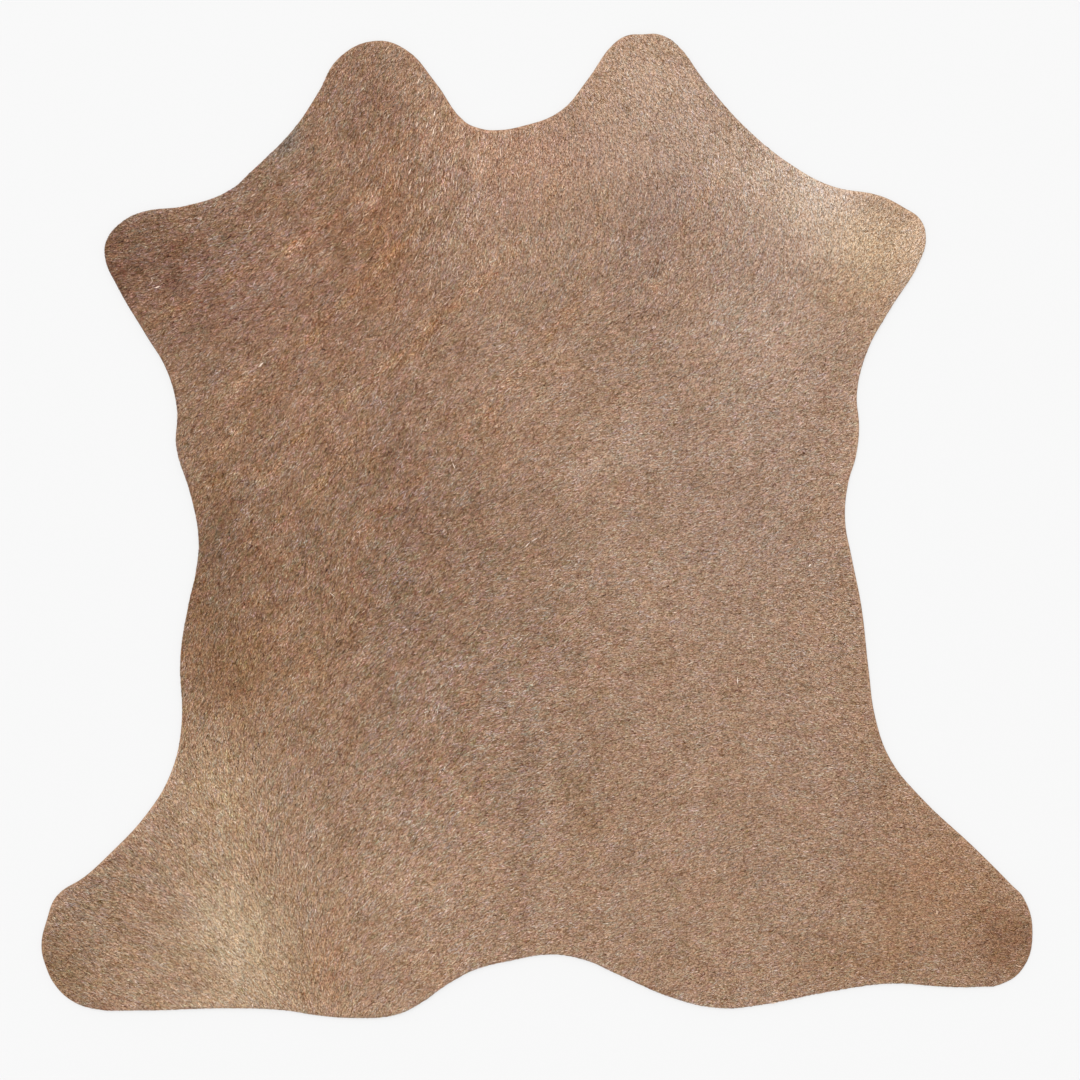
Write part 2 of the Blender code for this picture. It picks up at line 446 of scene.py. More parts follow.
# The curve between a screen's scale and linear light
SCREEN_TOP = 255
DARK_END = 0.04045
DARK_SLOPE = 12.92
CURVE_OFFSET = 0.055
CURVE_POWER = 2.4


def linear_light(screen):
    """Colours on the screen's 0 to 255 scale as linear light."""
    share = np.clip(screen / SCREEN_TOP, 0, 1)
    curved = ((share + CURVE_OFFSET) / (1 + CURVE_OFFSET)) ** CURVE_POWER
    return np.where(share <= DARK_END, share / DARK_SLOPE, curved)


print(len(PATCHES), "patches and", len(FLECKS), "flecks; the middle of the hide ends up at",
      (TAUPE + patch_shift(np.zeros((1, 2)))[0]).round())

# %% [markdown]
# ## Creases
#
# A neck has wrinkles, and they stay in the skin: long soft ridges that fan out from the notch over the
# left shoulder, where the hair stands apart and shows its tan roots, with a few troughs between that
# are darkened with painted shade.
# A sculpting brush would draw them by hand. Here each is a row with the few points that it runs
# through. It is strongest on its line, fades out at both ends, and chance makes it wander and break.

# %% Draw the creases
# Each row: the crease, its half width, its rise, how far it moves red, green and blue, its points
# Rows with a negative rise are troughs, darkened with painted shade.
CREASES = (
    ("notch, pale", 4.5, 0.2, 9, 8, 6, ((35, 362), (24, 328), (8, 297), (-12, 268), (-35, 245))),
    ("notch, tan", 6.5, 0.3, 12, 8, 3, ((-30, 250), (-54, 226), (-88, 195), (-118, 160), (-162, 128))),
    ("notch, aside", 6.0, 0.3, 11, 9, 6, ((-155, 132), (-190, 108), (-215, 88), (-243, 52), (-262, 38))),
    ("throat, pale", 4.5, 0.2, 9, 8, 6, ((74, 328), (62, 298), (52, 268), (47, 240))),
    ("throat, tan", 6.5, 0.3, 9, 5, 1, ((50, 250), (34, 206), (5, 165), (-22, 134), (-48, 100), (-78, 74))),
    ("throat, to the waist", 6.0, 0.2, 8, 5, 3, ((-100, 55), (-118, 35), (-148, 4), (-185, -32))),
    ("shoulder, pale", 6.0, 0.3, 15, 12, 10, ((-133, 320), (-165, 300), (-195, 279), (-225, 262))),
    ("shoulder, tan", 5.5, 0.3, 13, 9, 4, ((-225, 262), (-262, 243), (-300, 221), (-362, 186))),
    ("shoulder, dark", 3.5, -0.3, -19, -20, -19,
     ((-121, 283), (-129, 298), (-152, 291), (-178, 271), (-205, 256))),
    ("chest, pale", 5.0, 0.3, 17, 16, 15, ((-72, 338), (-87, 312), (-104, 286))),
    ("chest, tan", 5.5, 0.3, 13, 9, 5, ((-104, 286), (-120, 268), (-137, 252), (-160, 228), (-197, 186))),
    ("chest, to the side", 5.5, 0.3, 14, 11, 8, ((-197, 186), (-222, 165), (-260, 143), (-292, 121))),
    ("left side, upper", 5.5, 0.2, 12, 9, 6, ((-232, 127), (-262, 105), (-281, 84), (-300, 66))),
    ("left side, lower", 5.0, 0.2, 10, 6, 2, ((-152, 100), (-163, 88), (-174, 72), (-188, 56), (-208, 34))),
    ("left side, yellowish", 5.0, 0.1, 10, 8, 1, ((-283, 47), (-307, 37))),
    ("left waist", 5.5, 0.2, 10, 7, 4, ((-222, 14), (-235, 6), (-265, -13))),
    ("breast, pale", 5.5, 0.2, 11, 12, 12, ((-50, 348), (-58, 320), (-63, 292), (-72, 270), (-82, 252))),
    ("right breast, tan", 4.5, 0.1, 8, 5, 1, ((176, 330), (152, 303), (138, 275), (121, 238), (104, 213))),
    ("right breast, dark", 3.5, -0.2, -9, -9, -8, ((48, 190), (62, 173), (78, 163), (84, 140))),
    ("flank, pale", 4.0, 0.2, 11, 9, 7, ((-212, -56), (-240, -60), (-262, -72), (-290, -88))),
    ("flank, dark", 3.5, -0.3, -21, -21, -21, ((-220, -64), (-240, -70), (-253, -80), (-263, -93))),
    ("flank, cream", 4.0, 0.2, 12, 11, 7, ((-236, -87), (-252, -95), (-275, -105))),
    ("thigh, dark", 8.0, -0.2, -9, -10, -10, ((-255, -134), (-275, -147), (-305, -160))),
    ("beside the parting", 2.5, 0.2, 10, 12, 9, ((-301, -243), (-284, -259), (-276, -279), (-271, -306))),
)
CREASE_FADE = 14.0
CREASE_WANDER = 3.5
WANDER_PITCH = 13.0
CREASE_CONTRAST = 1.2
UNEVEN_PITCH = 11.0
UNEVENNESS = 0.9


def crease_strength(points, half_width, line):
    """1 on a crease's line, and less towards 0 beside it and past its ends."""
    strength = np.zeros(len(points))
    starts, ends = np.array(line[:-1], float), np.array(line[1:], float)
    spans = np.hypot(*(ends - starts).T)
    covered = np.concatenate([[0], np.cumsum(spans)])
    for start, end, span, before in zip(starts, ends, spans, covered):
        share = np.clip((points - start) @ (end - start) / span**2, 0, 1)
        gap = np.hypot(*(points - start - share[:, None] * (end - start)).T)
        to_an_end = np.minimum(before + share * span, covered[-1] - before - share * span)
        fade = np.clip((to_an_end + half_width) / CREASE_FADE, 0, 1)
        strength = np.maximum(strength, np.exp(-((gap / half_width) ** 2)) * fade)
    return strength


def creases_at(points):
    """How far the creases move red, green and blue at each point, and how far they raise the coat."""
    aside = np.stack([smooth_noise(points, WANDER_PITCH, seed) for seed in (41, 42)], 1)
    wandering = points + aside * CREASE_WANDER
    uneven = 1.0 + smooth_noise(points, UNEVEN_PITCH, seed=43) * UNEVENNESS
    uneven = np.clip(uneven, 1 - UNEVENNESS, 1 + UNEVENNESS) * CREASE_CONTRAST
    shift, rise = np.zeros((len(points), 3)), np.zeros(len(points))
    for _, half_width, height, red, green, blue, line in CREASES:
        strength = crease_strength(wandering, half_width, line) * uneven
        shift += strength[:, None] * (red, green, blue)
        rise += strength * height
    return shift, rise


print(len(CREASES), "creases; on the tan one from the notch the coat moves by",
      creases_at(np.array([(-88.0, 195.0)]))[0].round()[0])

# %% [markdown]
# ## Finishes as Python
#
# A Blender material is a graph of nodes. Written node by node it takes pages, so two small classes
# make it read like a formula. A Wire is one output socket, and its + - * / add Math nodes. A Finish
# is one material, and its node method adds any other node: its type, its settings, and what goes
# into its sockets. A Mix node has sockets for each kind of value, so its colour ones are numbered.

# %% Wires and finishes
MIX_COLOUR_INPUTS = (0, 6, 7)
MIX_COLOUR_OUTPUT = 2


class Wire:
    """One output socket of a finish, with arithmetic."""

    def __init__(self, finish, socket):
        self.finish = finish
        self.socket = socket

    def maths(self, operation, *values):
        return self.finish.node("Math", {"operation": operation}, *values)

    def __add__(self, other):
        return self.maths("ADD", self, other)

    def __radd__(self, other):
        return self.maths("ADD", other, self)

    def __sub__(self, other):
        return self.maths("SUBTRACT", self, other)

    def __rsub__(self, other):
        return self.maths("SUBTRACT", other, self)

    def __mul__(self, other):
        return self.maths("MULTIPLY", self, other)

    def __rmul__(self, other):
        return self.maths("MULTIPLY", other, self)

    def __pow__(self, other):
        return self.maths("POWER", self, other)


class Finish:
    """One material, built up from nodes around its Principled shader."""

    def __init__(self, name):
        self.material = bpy.data.materials.new(name)
        self.material.use_nodes = True
        self.tree = self.material.node_tree
        self.shader = self.tree.nodes["Principled BSDF"]

    def plug(self, socket, value):
        """Puts a wire or a plain value into a socket."""
        if isinstance(value, Wire):
            self.tree.links.new(value.socket, socket)
        else:
            socket.default_value = value

    def node(self, kind, settings=None, *values, out=0, **named):
        """A node of that kind: its settings first, then what goes into its sockets."""
        made = self.tree.nodes.new("ShaderNode" + kind)
        for name, value in (settings or {}).items():
            setattr(made, name, value)
        for socket, value in zip(made.inputs, values):
            self.plug(socket, value)
        for name, value in named.items():
            self.plug(made.inputs[name.replace("_", " ")], value)
        return Wire(self, made.outputs[out])

    def ramp(self, factor, *stops):
        """A colour ramp between two stops, each a place and a colour."""
        wire = self.node("ValToRGB", None, factor)
        for stop, (place, colour) in zip(wire.socket.node.color_ramp.elements, stops):
            stop.position = place
            stop.color = (*colour, 1.0)
        return wire

    def mix(self, share, first, second, blend="MIX"):
        """Two colours mixed, or one laid on the other by a blend mode."""
        made = self.tree.nodes.new("ShaderNodeMix")
        made.data_type = "RGBA"
        made.blend_type = blend
        for place, value in zip(MIX_COLOUR_INPUTS, (share, first, second)):
            self.plug(made.inputs[place], value)
        return Wire(self, made.outputs[MIX_COLOUR_OUTPUT])

    def surface(self, **sockets):
        """Plugs wires and values into the Principled shader."""
        for name, value in sockets.items():
            self.plug(self.shader.inputs[name.replace("_", " ")], value)
        return self.material


print("finishes can be written as formulas now")

# %% [markdown]
# ## The leather
#
# Under the hair is leather about 2 mm thick. Its underside is pale suede, its cut edge is a little
# darker, and its top carries the dense short underhair, which painted shade turns into dark gaps
# between the locks. The slab starts as the merged copy of the solid, so its outline is exact. The
# solid reaches as high as the lying hair, so here its top sinks to the height of the underhair. It is
# then cut into a finer grid, because each corner will hold the colour of the coat at its place.

# %% Make the leather slab
LEATHER = 2.0
UNDERHAIR_SHARE = 0.42
SLAB_PITCH = 9.0
SNAP = 0.4
STILL_FLAT = radians(0.2)
SHARP_FROM = radians(40)


def slab_from_solid(shape):
    """Sinks the solid's top from the height of the hair to that of the underhair."""
    for vertex in shape.verts:
        height = vertex.co.z / MM
        if height > LEATHER:
            vertex.co.z = (LEATHER + (height - LEATHER) * UNDERHAIR_SHARE) * MM


def cut_into_grid(shape, pitch):
    """Cuts a shape along upright planes, a pitch apart both ways."""
    for axis in (Vector((1, 0, 0)), Vector((0, 1, 0))):
        reach = max(abs(vertex.co.dot(axis)) for vertex in shape.verts) / MM
        for step in range(-int(reach / pitch), int(reach / pitch) + 1):
            bmesh.ops.bisect_plane(
                shape,
                geom=shape.verts[:] + shape.edges[:] + shape.faces[:],
                dist=SNAP * MM,
                plane_co=axis * (step + 0.5) * pitch * MM,
                plane_no=axis,
            )


slab_from_solid(solid)
bmesh.ops.dissolve_limit(
    solid, angle_limit=STILL_FLAT, use_dissolve_boundaries=False, verts=solid.verts, edges=solid.edges
)
cut_into_grid(solid, SLAB_PITCH)
bmesh.ops.triangulate(solid, faces=solid.faces)
skin_mesh = bpy.data.meshes.new("skin")
solid.to_mesh(skin_mesh)
solid.free()
skin = bpy.data.objects.new("skin", skin_mesh)
scene.collection.objects.link(skin)
skin_mesh.shade_smooth()
skin_mesh.set_sharp_from_angle(angle=SHARP_FROM)
print("leather slab:", len(skin_mesh.polygons), "triangles")

# %% Colour the corners of the slab, darker at the cut edge
# The darkening at the cut edge is painted shade along the rim, with some of the cut leather's own darker
# tone.
RIM_WIDTH = 1.8
RIM_SHADE = 0.85
skin_corners = np.empty(len(skin_mesh.vertices) * 3)
skin_mesh.vertices.foreach_get("co", skin_corners)
skin_corners = skin_corners.reshape(-1, 3) / MM


def give_colours(mesh, name, colours):
    """Stores a linear colour at each corner point of a mesh."""
    layer = mesh.color_attributes.new(name, "FLOAT_COLOR", "POINT")
    layer.data.foreach_set("color", np.column_stack([colours, np.ones(len(colours))]).ravel())


rim_share = np.clip(depth_inside(skin_corners[:, :2]) / RIM_WIDTH, 0, 1)[:, None]
rim_shade = RIM_SHADE + (1 - RIM_SHADE) * rim_share
skin_shift = patch_shift(skin_corners[:, :2]) + creases_at(skin_corners[:, :2])[0]
give_colours(skin_mesh, "dye_and_shade", linear_light(TAUPE + skin_shift) * rim_shade)
print("underhair stands up to", skin_corners[:, 2].max().round(1), "mm high")

# %% [markdown]
# ## The finish of the leather
#
# One finish serves the whole slab and tells its parts by height. Below the hair it is leather: at the
# cut edge tan with fine layers, and on the underside suede, paler and mottled. Above that it is
# underhair, which takes its colour from the corners and is much darker than the coat: painted shade,
# because little light gets down between the locks.

# %% Finish the leather
SUEDE_PALE = (0.56, 0.43, 0.31)
SUEDE_DARK = (0.42, 0.30, 0.20)
CUT_TAN = (0.34, 0.23, 0.15)
# Painted shade on the underhair: its colour is multiplied by a ramp between these two.
UNDERHAIR_DEEP_SHADE = (0.38, 0.29, 0.22)
UNDERHAIR_LIGHT_SHADE = (0.90, 0.87, 0.84)
UNDERHAIR_STOPS = (0.38, 0.62)

# Heights between which one part turns into the next, in metres as the shader reads them
TOP_HEIGHTS = (0.0019, 0.0023)
SIDE_HEIGHTS = (0.0001, 0.0005)
CUT_LAYERING = 0.8
NAP_RELIEF = 0.4
RELIEF_DEPTH = 0.0006
LEATHER_ROUGHNESS = 0.85
ROUGHNESS_DRIFT = 0.1


def leather_finish():
    """Suede below, tan leather at the cut edge and underhair on top, darkened by painted shade."""
    finish = Finish("leather")
    place = finish.node("TexCoord", out="Object")
    height = finish.node("SeparateXYZ", None, place, out="Z")
    on_top = finish.node("MapRange", {"clamp": True}, height, *TOP_HEIGHTS, 0.0, 1.0)
    at_side = finish.node("MapRange", {"clamp": True}, height, *SIDE_HEIGHTS, 0.0, 1.0)

    mottle = finish.node("TexNoise", None, Vector=place, Scale=45.0, Detail=6.0, Roughness=0.6)
    nap = finish.node("TexNoise", None, Vector=place, Scale=900.0, Detail=3.0, Roughness=0.7)
    suede = finish.mix(mottle, (*SUEDE_DARK, 1), (*SUEDE_PALE, 1))
    cut = finish.mix(nap * CUT_LAYERING, (*CUT_TAN, 1), (*SUEDE_DARK, 1))
    leather = finish.mix(at_side, suede, cut)

    dye_and_shade = finish.node("Attribute", {"attribute_name": "dye_and_shade"}, out="Color")
    clumps = finish.node("TexNoise", None, Vector=place, Scale=580.0, Detail=1.5, Roughness=0.6)
    # Painted shade between the locks, broken up by the clumps.
    depth = finish.ramp(clumps, *zip(UNDERHAIR_STOPS, (UNDERHAIR_DEEP_SHADE, UNDERHAIR_LIGHT_SHADE)))
    underhair = finish.mix(1.0, dye_and_shade, depth, blend="MULTIPLY")

    relief = nap * NAP_RELIEF + clumps * on_top
    bump = finish.node("Bump", None, Strength=0.6, Distance=RELIEF_DEPTH, Height=relief)
    return finish.surface(
        Base_Color=finish.mix(on_top, leather, underhair),
        Roughness=LEATHER_ROUGHNESS + mottle * ROUGHNESS_DRIFT,
        Normal=bump,
    )


skin_mesh.materials.clear()
skin_mesh.materials.append(leather_finish())
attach(skin, "root")
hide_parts("hide")
print("leather finished with", len(skin_mesh.materials[0].node_tree.nodes), "nodes")

# %% [markdown]
# ## One lock
#
# A lock is a tuft of hairs that lie together: about 5 mm long and mostly less than 1 mm wide, widest
# at its root and pointed at its tip. There will be some 240,000, so each has as few faces as a closed
# body can: a cone with three sides, laid down along +X with one flat side underneath. It is made once
# with an operator, a unit long, wide and high, and its corners serve as the pattern for every lock.

# %% Make the pattern of a lock
HALF_WAY = 0.5
TIP_HEIGHT = 0.35


def lock_pattern():
    """The corners and faces of one lock, a unit long, wide and high, with its root at the origin."""
    shape = bmesh.new()
    bmesh.ops.create_cone(shape, cap_ends=True, segments=3, radius1=1.0, radius2=0.0, depth=1.0)
    bmesh.ops.remove_doubles(shape, verts=shape.verts, dist=0.01)
    bmesh.ops.translate(shape, verts=shape.verts, vec=(0, 0, 0.5))
    bmesh.ops.rotate(shape, verts=shape.verts, matrix=Matrix.Rotation(radians(90), 3, "Y"))
    bmesh.ops.recalc_face_normals(shape, faces=shape.faces)
    shape.verts.ensure_lookup_table()
    corners = np.array([vertex.co[:] for vertex in shape.verts])
    faces = np.array([[vertex.index for vertex in face.verts] for face in shape.faces])
    shape.free()
    root = corners[:, 0] < HALF_WAY
    corners[:, 1] /= np.ptp(corners[root, 1])
    corners[:, 2] -= corners[root, 2].min()
    corners[:, 2] /= corners[root, 2].max()
    corners[~root, 2] = TIP_HEIGHT
    return corners, faces


lock_corners, lock_faces = lock_pattern()
print("a lock has", len(lock_faces), "faces, and its corners are", lock_corners.round(2).tolist())

# %% [markdown]
# ## The coat in layers
#
# Fur reads as fur because light tips lie over dark depths. So the coat is built like thatch, in five
# layers, each a joined mesh of some 45,000 locks. Those of the lowest layer are the broadest and
# longest, and close the gaps; each layer above is slimmer and shorter. The lower a layer, the darker
# its tone, which is painted shade for its depth in the coat. Locks start on a grid, one to a cell and
# moved by chance inside it, which covers more evenly than chance alone. A sixth, narrow layer follows
# the cut edge, where locks of the others are trimmed short.

# %% The layers of the coat
# Each row: name, cell in mm, length, width, height of root and of tip over the underhair, tone,
# spread of tone, spread of heading in degrees
# The tone column falls from the top layer down: painted shade for depth.
LAYERS = (
    ("coat_ground", 3.5, 6.0, 1.90, -0.5, 0.5, -6, 14, 17),
    ("coat_lower", 3.5, 5.1, 1.00, -0.4, 0.8, -4, 20, 18),
    ("coat_middle", 3.5, 4.9, 0.80, -0.3, 1.1, -2, 22, 19),
    ("coat_upper", 3.5, 4.7, 0.68, -0.2, 1.4, 0, 24, 20),
    ("coat_tips", 3.5, 4.5, 0.58, 0.0, 1.7, 1, 25, 20),
)
RIM_LAYER = ("coat_rim", 0.8, 3.4, 0.56, -0.3, 0.9, -4, 21, 20)
RIM_REACH = 2.2
ROOT_INSET = 0.12
OVERHANG = 0.25
SHORTEST_SHARE = 0.05
LEAST_FALL = 1e-6

# Each row: place, x, y, half length, half width, heading, then how much longer, how much wilder and
# how much more mottled the coat is there than elsewhere
GROWTH = (
    ("left hind leg", -345, -360, 120, 80, -20, 0.50, -0.45, -0.05),
    ("cream patch", -270, -390, 60, 50, 70, 0.00, 0.00, -0.40),
    ("right front leg", 300, 270, 100, 55, -30, 0.00, 0.10, -0.65),
    ("right neck lobe", 100, 400, 70, 60, 90, 0.00, 0.20, -0.25),
    ("right neck root", 50, 330, 90, 45, 0, 0.00, 0.00, -0.32),
    ("left neck", -140, 340, 110, 80, 60, 0.25, -0.10, 0.22),
    ("left of the notch", -88, 325, 60, 30, 66, 0.35, -0.10, 0.05),
    ("left half", -260, 60, 130, 300, 0, 0.00, 0.00, 0.15),
    ("left shoulder", -300, 250, 90, 60, 0, 0.00, 0.00, 0.30),
    ("left of the back", -150, -20, 130, 130, 0, 0.00, 0.00, 0.45),
    ("middle of the loin", 5, -105, 60, 50, 0, 0.00, 0.00, 0.26),
    ("rump", -80, -230, 130, 100, 90, 0.00, 0.00, 0.48),
    ("right side", 250, -60, 200, 70, 90, 0.00, 0.10, -0.10),
    ("right hind leg", 360, -340, 80, 60, -45, 0.00, 0.10, -0.25),
)


def growth_at(points):
    """Length, wildness and mottling of the coat at each point, each as a factor."""
    factors = np.ones((len(points), 3))
    for _, x, y, half_length, half_width, heading, *more in GROWTH:
        factors += soft_spot(points, x, y, half_length, half_width, heading) * more
    return factors.T


def inside_only(points):
    """The points that have leather under them, with their depths inside the cut edge."""
    depths = depth_inside(points)
    kept = depths > ROOT_INSET
    return points[kept], depths[kept]


def scattered_roots(cell, chance):
    """Root places all over the hide, one to each cell of a grid, moved by chance within it."""
    low, high = edge_starts.min(0), edge_starts.max(0)
    columns, rows = np.ceil((high - low) / cell).astype(int) + 1
    grid = np.stack(np.meshgrid(np.arange(columns), np.arange(rows), indexing="ij"), -1)
    points = low + (grid.reshape(-1, 2) + chance.uniform(-0.5, 0.5, (columns * rows, 2))) * cell
    return inside_only(points)


def rim_roots(pitch, reach, chance):
    """Root places close inside the cut edge, one to each pitch of its length."""
    counts = np.ceil(2 * np.hypot(*edge_ways.T) / pitch).astype(int)
    starts, ways = np.repeat(edge_starts, counts, axis=0), np.repeat(edge_ways, counts, axis=0)
    across = np.stack([-ways[:, 1], ways[:, 0]], 1) / np.hypot(*ways.T)[:, None]
    share, away = chance.uniform(0, 1, len(ways)), chance.uniform(-reach, reach, len(ways))
    return inside_only(starts + ways * share[:, None] + across * away[:, None])


def share_left(points, depths, ways, lengths):
    """The share of each lock that is left when no tip may pass the cut edge by more than the overhang."""
    near = depths < lengths.max() + 1
    tip_depths = depths.copy()
    tip_depths[near] = depth_inside(points[near] + ways[near] * lengths[near, None])
    fall = np.maximum(depths - tip_depths, LEAST_FALL)
    share = np.where(near & (tip_depths < -OVERHANG), (depths + OVERHANG) / fall, 1.0)
    return np.clip(share, SHORTEST_SHARE, 1.0)


print("layers from", LAYERS[0][0], "to", LAYERS[-1][0])

# %% The height that each root stands on
WELL_ABOVE = 50.0
skin_tree = BVHTree.FromPolygons(
    [tuple(corner) for corner in skin_corners], [tuple(face.vertices) for face in skin_mesh.polygons]
)


def underhair_height(points):
    """The height of the underhair below each point, in millimetres."""
    down = Vector((0, 0, -1))
    heights = np.empty(len(points))
    for number, (x, y) in enumerate(points.tolist()):
        hit = skin_tree.ray_cast(Vector((x, y, WELL_ABOVE)), down)[0]
        heights[number] = hit.z if hit else LEATHER
    return heights


print("underhair in the middle:", underhair_height(np.zeros((1, 2))).round(2), "mm")

# %% [markdown]
# ## Tone of each lock
#
# Up close the coat is a mix of pale and dark locks side by side; a step away it shows fine streaks;
# further off, soft blotches. Each of these is one line below: a lock takes its own chance value, which
# strays further to dark than to pale, then narrow and wide streaks combed along the hair, then blots.
# Over the upper left, long pale and dark streaks run side by side down the shoulder: painted sheen
# of the lying hair. Small drifts to warm and to rosy keep the coat from looking painted.

# %% Give each lock a colour
PALE_SHIFT = np.array((0.88, 1.0, 1.16))
WARM_SHIFT = np.array((1.0, -0.05, -0.95))
ROSY_SHIFT = np.array((0.5, -0.6, 0.4))
LOCK_WARMTH = 0.8
LOCK_ROSINESS = 2.0
SCREEN_TO_DYE = 1.12

# Mean and spread of NumPy's gumbel draw, which has its long tail on one side
GUMBEL_MEAN = 0.577
GUMBEL_SPREAD = 1.283

# Streaks: pitch, reach along the hair, seed; and how strong they are
NARROW_STREAKS = (3.0, 6, 21)
NARROW_STRENGTH = 2.0
WIDE_STREAKS = (6.0, 48, 22)
WIDE_STRENGTH = 1.0
# Painted sheen: strong light and dark bands of the lying hair over the shoulder.
SHOULDER_SHEEN_STRENGTH = 5.0
SHOULDER_SHEEN_SPOT = (-200, 200, 210, 170, 90)

# Drifts: each row a pitch, a strength and a seed
BLOTS = ((14.0, 7.8, 23), (40.0, 3.0, 24))
WARM_DRIFTS = ((4.0, 3.2, 28), (8.0, 3.0, 25), (30.0, 2.0, 26))
ROSY_DRIFTS = ((3.0, 6.0, 27),)


def drift(points, rows):
    """The sum of the smooth noises in those rows at each point."""
    return sum(smooth_noise(points, pitch, seed) * strength for pitch, strength, seed in rows)


def lock_dyes_and_shade(points, tone, spread, mottling, chance):
    """A linear colour for each lock: its own tone, with the painted shade and painted sheen of the patches,
    creases and layers.
    """
    count = len(points)
    shoulder = soft_spot(points, *SHOULDER_SHEEN_SPOT)[:, 0]
    grain = (GUMBEL_MEAN - chance.gumbel(0, 1, count)) / GUMBEL_SPREAD * spread
    streaks = streak_noise(points, *NARROW_STREAKS) * NARROW_STRENGTH
    bands = streak_noise(points, *WIDE_STREAKS) * (WIDE_STRENGTH + SHOULDER_SHEEN_STRENGTH * shoulder)
    mottled = (grain + streaks + drift(points, BLOTS)) * mottling
    pale = (tone + mottled + bands)[:, None] * PALE_SHIFT
    warm = chance.normal(0, LOCK_WARMTH, count) + drift(points, WARM_DRIFTS)
    rosy = chance.normal(0, LOCK_ROSINESS, count) + drift(points, ROSY_DRIFTS)
    screen = TAUPE + patch_shift(points) + creases_at(points)[0] + pale
    screen += (warm * mottling)[:, None] * WARM_SHIFT + (rosy * mottling)[:, None] * ROSY_SHIFT
    return linear_light(screen * SCREEN_TO_DYE)


sample = lock_dyes_and_shade(sample_places, tone=0, spread=20, mottling=1, chance=np.random.default_rng(3))
print("the locks of a sample have a mean colour of", sample.mean(0).round(3))

# %% [markdown]
# ## Copying the lock by arrays
#
# Making a quarter of a million objects would choke Blender, and so would a Python loop over their
# corners. NumPy lays the pattern out for all the locks of a layer at once: stretch it by length, width
# and thickness, turn it to its heading, lift its tip, and move it to its root. The faces are the
# pattern's faces, four corner numbers further on for each lock.
#
# Each lock also gets its own small cell of a UV map, ordered as the locks lie on the hide, so that a
# baked picture keeps the colour of every lock apart from its neighbours.

# %% Lay the locks of one layer
LOCK_THICKNESS = 0.40
LOCK_APART = 3.7
LOCK_UV = {"left": (0.10, 0.10), "right": (0.90, 0.10), "ridge": (0.50, 0.36), "tip": (0.50, 0.90)}


def corner_names():
    """Which corner of the pattern is left, right, ridge and tip."""
    names = []
    for x, y, z in lock_corners:
        if x > HALF_WAY:
            names.append("tip")
        elif z > HALF_WAY:
            names.append("ridge")
        else:
            names.append("left" if y > 0 else "right")
    return names


def uv_cells(points):
    """A column and a row of a square of cells for each lock, as they lie on the hide, and its side."""
    side = ceil(len(points) ** 0.5)
    by_x = np.argsort(points[:, 0], kind="stable")
    cells = np.empty((len(points), 2))
    for column in range(side):
        members = by_x[column * side:(column + 1) * side]
        members = members[np.argsort(points[members, 1], kind="stable")]
        cells[members, 0] = column
        cells[members, 1] = np.arange(len(members))
    return cells, side


def lay_locks(name, roots, heights, ways, lengths, widths, rises, shares, dyes_and_shade):
    """One joined mesh of locks."""
    count, corners = len(roots), len(lock_corners)
    along, across, up = lock_corners.T
    east = along * lengths[:, None] * ways[:, :1] - across * widths[:, None] * ways[:, 1:]
    north = along * lengths[:, None] * ways[:, 1:] + across * widths[:, None] * ways[:, :1]
    lift = along * rises[:, None] + up * LOCK_THICKNESS
    places = np.stack([east + roots[:, :1], north + roots[:, 1:], lift + heights[:, None]], -1)

    mesh = bpy.data.meshes.new(name)
    mesh.vertices.add(count * corners)
    mesh.vertices.foreach_set("co", (places * MM).ravel())
    triangles = (lock_faces + np.arange(count)[:, None, None] * corners).reshape(-1, 3)
    mesh.loops.add(triangles.size)
    mesh.loops.foreach_set("vertex_index", triangles.ravel())
    mesh.polygons.add(len(triangles))
    mesh.polygons.foreach_set("loop_start", np.arange(len(triangles)) * 3)
    mesh.update(calc_edges=True)
    mesh.shade_smooth()

    give_colours(mesh, "dye_and_shade", np.repeat(dyes_and_shade, corners, axis=0))
    reach = mesh.attributes.new("reach", "FLOAT", "POINT")
    reach.data.foreach_set("value", (along * shares[:, None]).ravel())
    strand = mesh.attributes.new("strand", "FLOAT_VECTOR", "POINT")
    numbers = np.repeat(np.arange(count)[:, None], corners, axis=1)
    strands = np.stack([along * lengths[:, None], across * widths[:, None], numbers * LOCK_APART], -1)
    strand.data.foreach_set("vector", strands.ravel())
    cells, side = uv_cells(roots)
    corner_uv = np.array([LOCK_UV[corner] for corner in corner_names()])
    spots = (cells[:, None, :] + corner_uv) / side
    layer = mesh.uv_layers.new(name="OFBake")
    layer.uv.foreach_set("vector", spots.reshape(-1, 2)[triangles.ravel()].ravel())
    piece = bpy.data.objects.new(name, mesh)
    scene.collection.objects.link(piece)
    return piece


print("corners of the pattern:", corner_names())

# %% [markdown]
# ## The finish of the hair
#
# Cattle hair is matt with a soft gloss. Each lock carries its own colour attribute; towards its root
# it is darker, painted shade because it dives under its neighbours, and towards its tip it is
# lighter, painted light on the part that lies on top. Two fine noises, one drawn out along the strand
# and one across all the locks, break it up into single hairs. Gloss is set on the shader itself, as
# it is the same all over.

# %% Finish the hair
ROOT_SHADE = (0.66, 0.53, 0.41)
TIP_SHADE = (1.08, 1.15, 1.24)
SINGLE_DARK = (0.43, 0.34, 0.26)
SINGLE_PALE = (1.21, 1.36, 1.52)
SINGLE_STOPS = (0.392, 0.562)
STRAND_STRETCH = (0.35, 0.8, 1.0)
STRAND_SHARE = 0.5
HAIR_ROUGHNESS = 0.50
HAIR_SPECULAR = 0.35


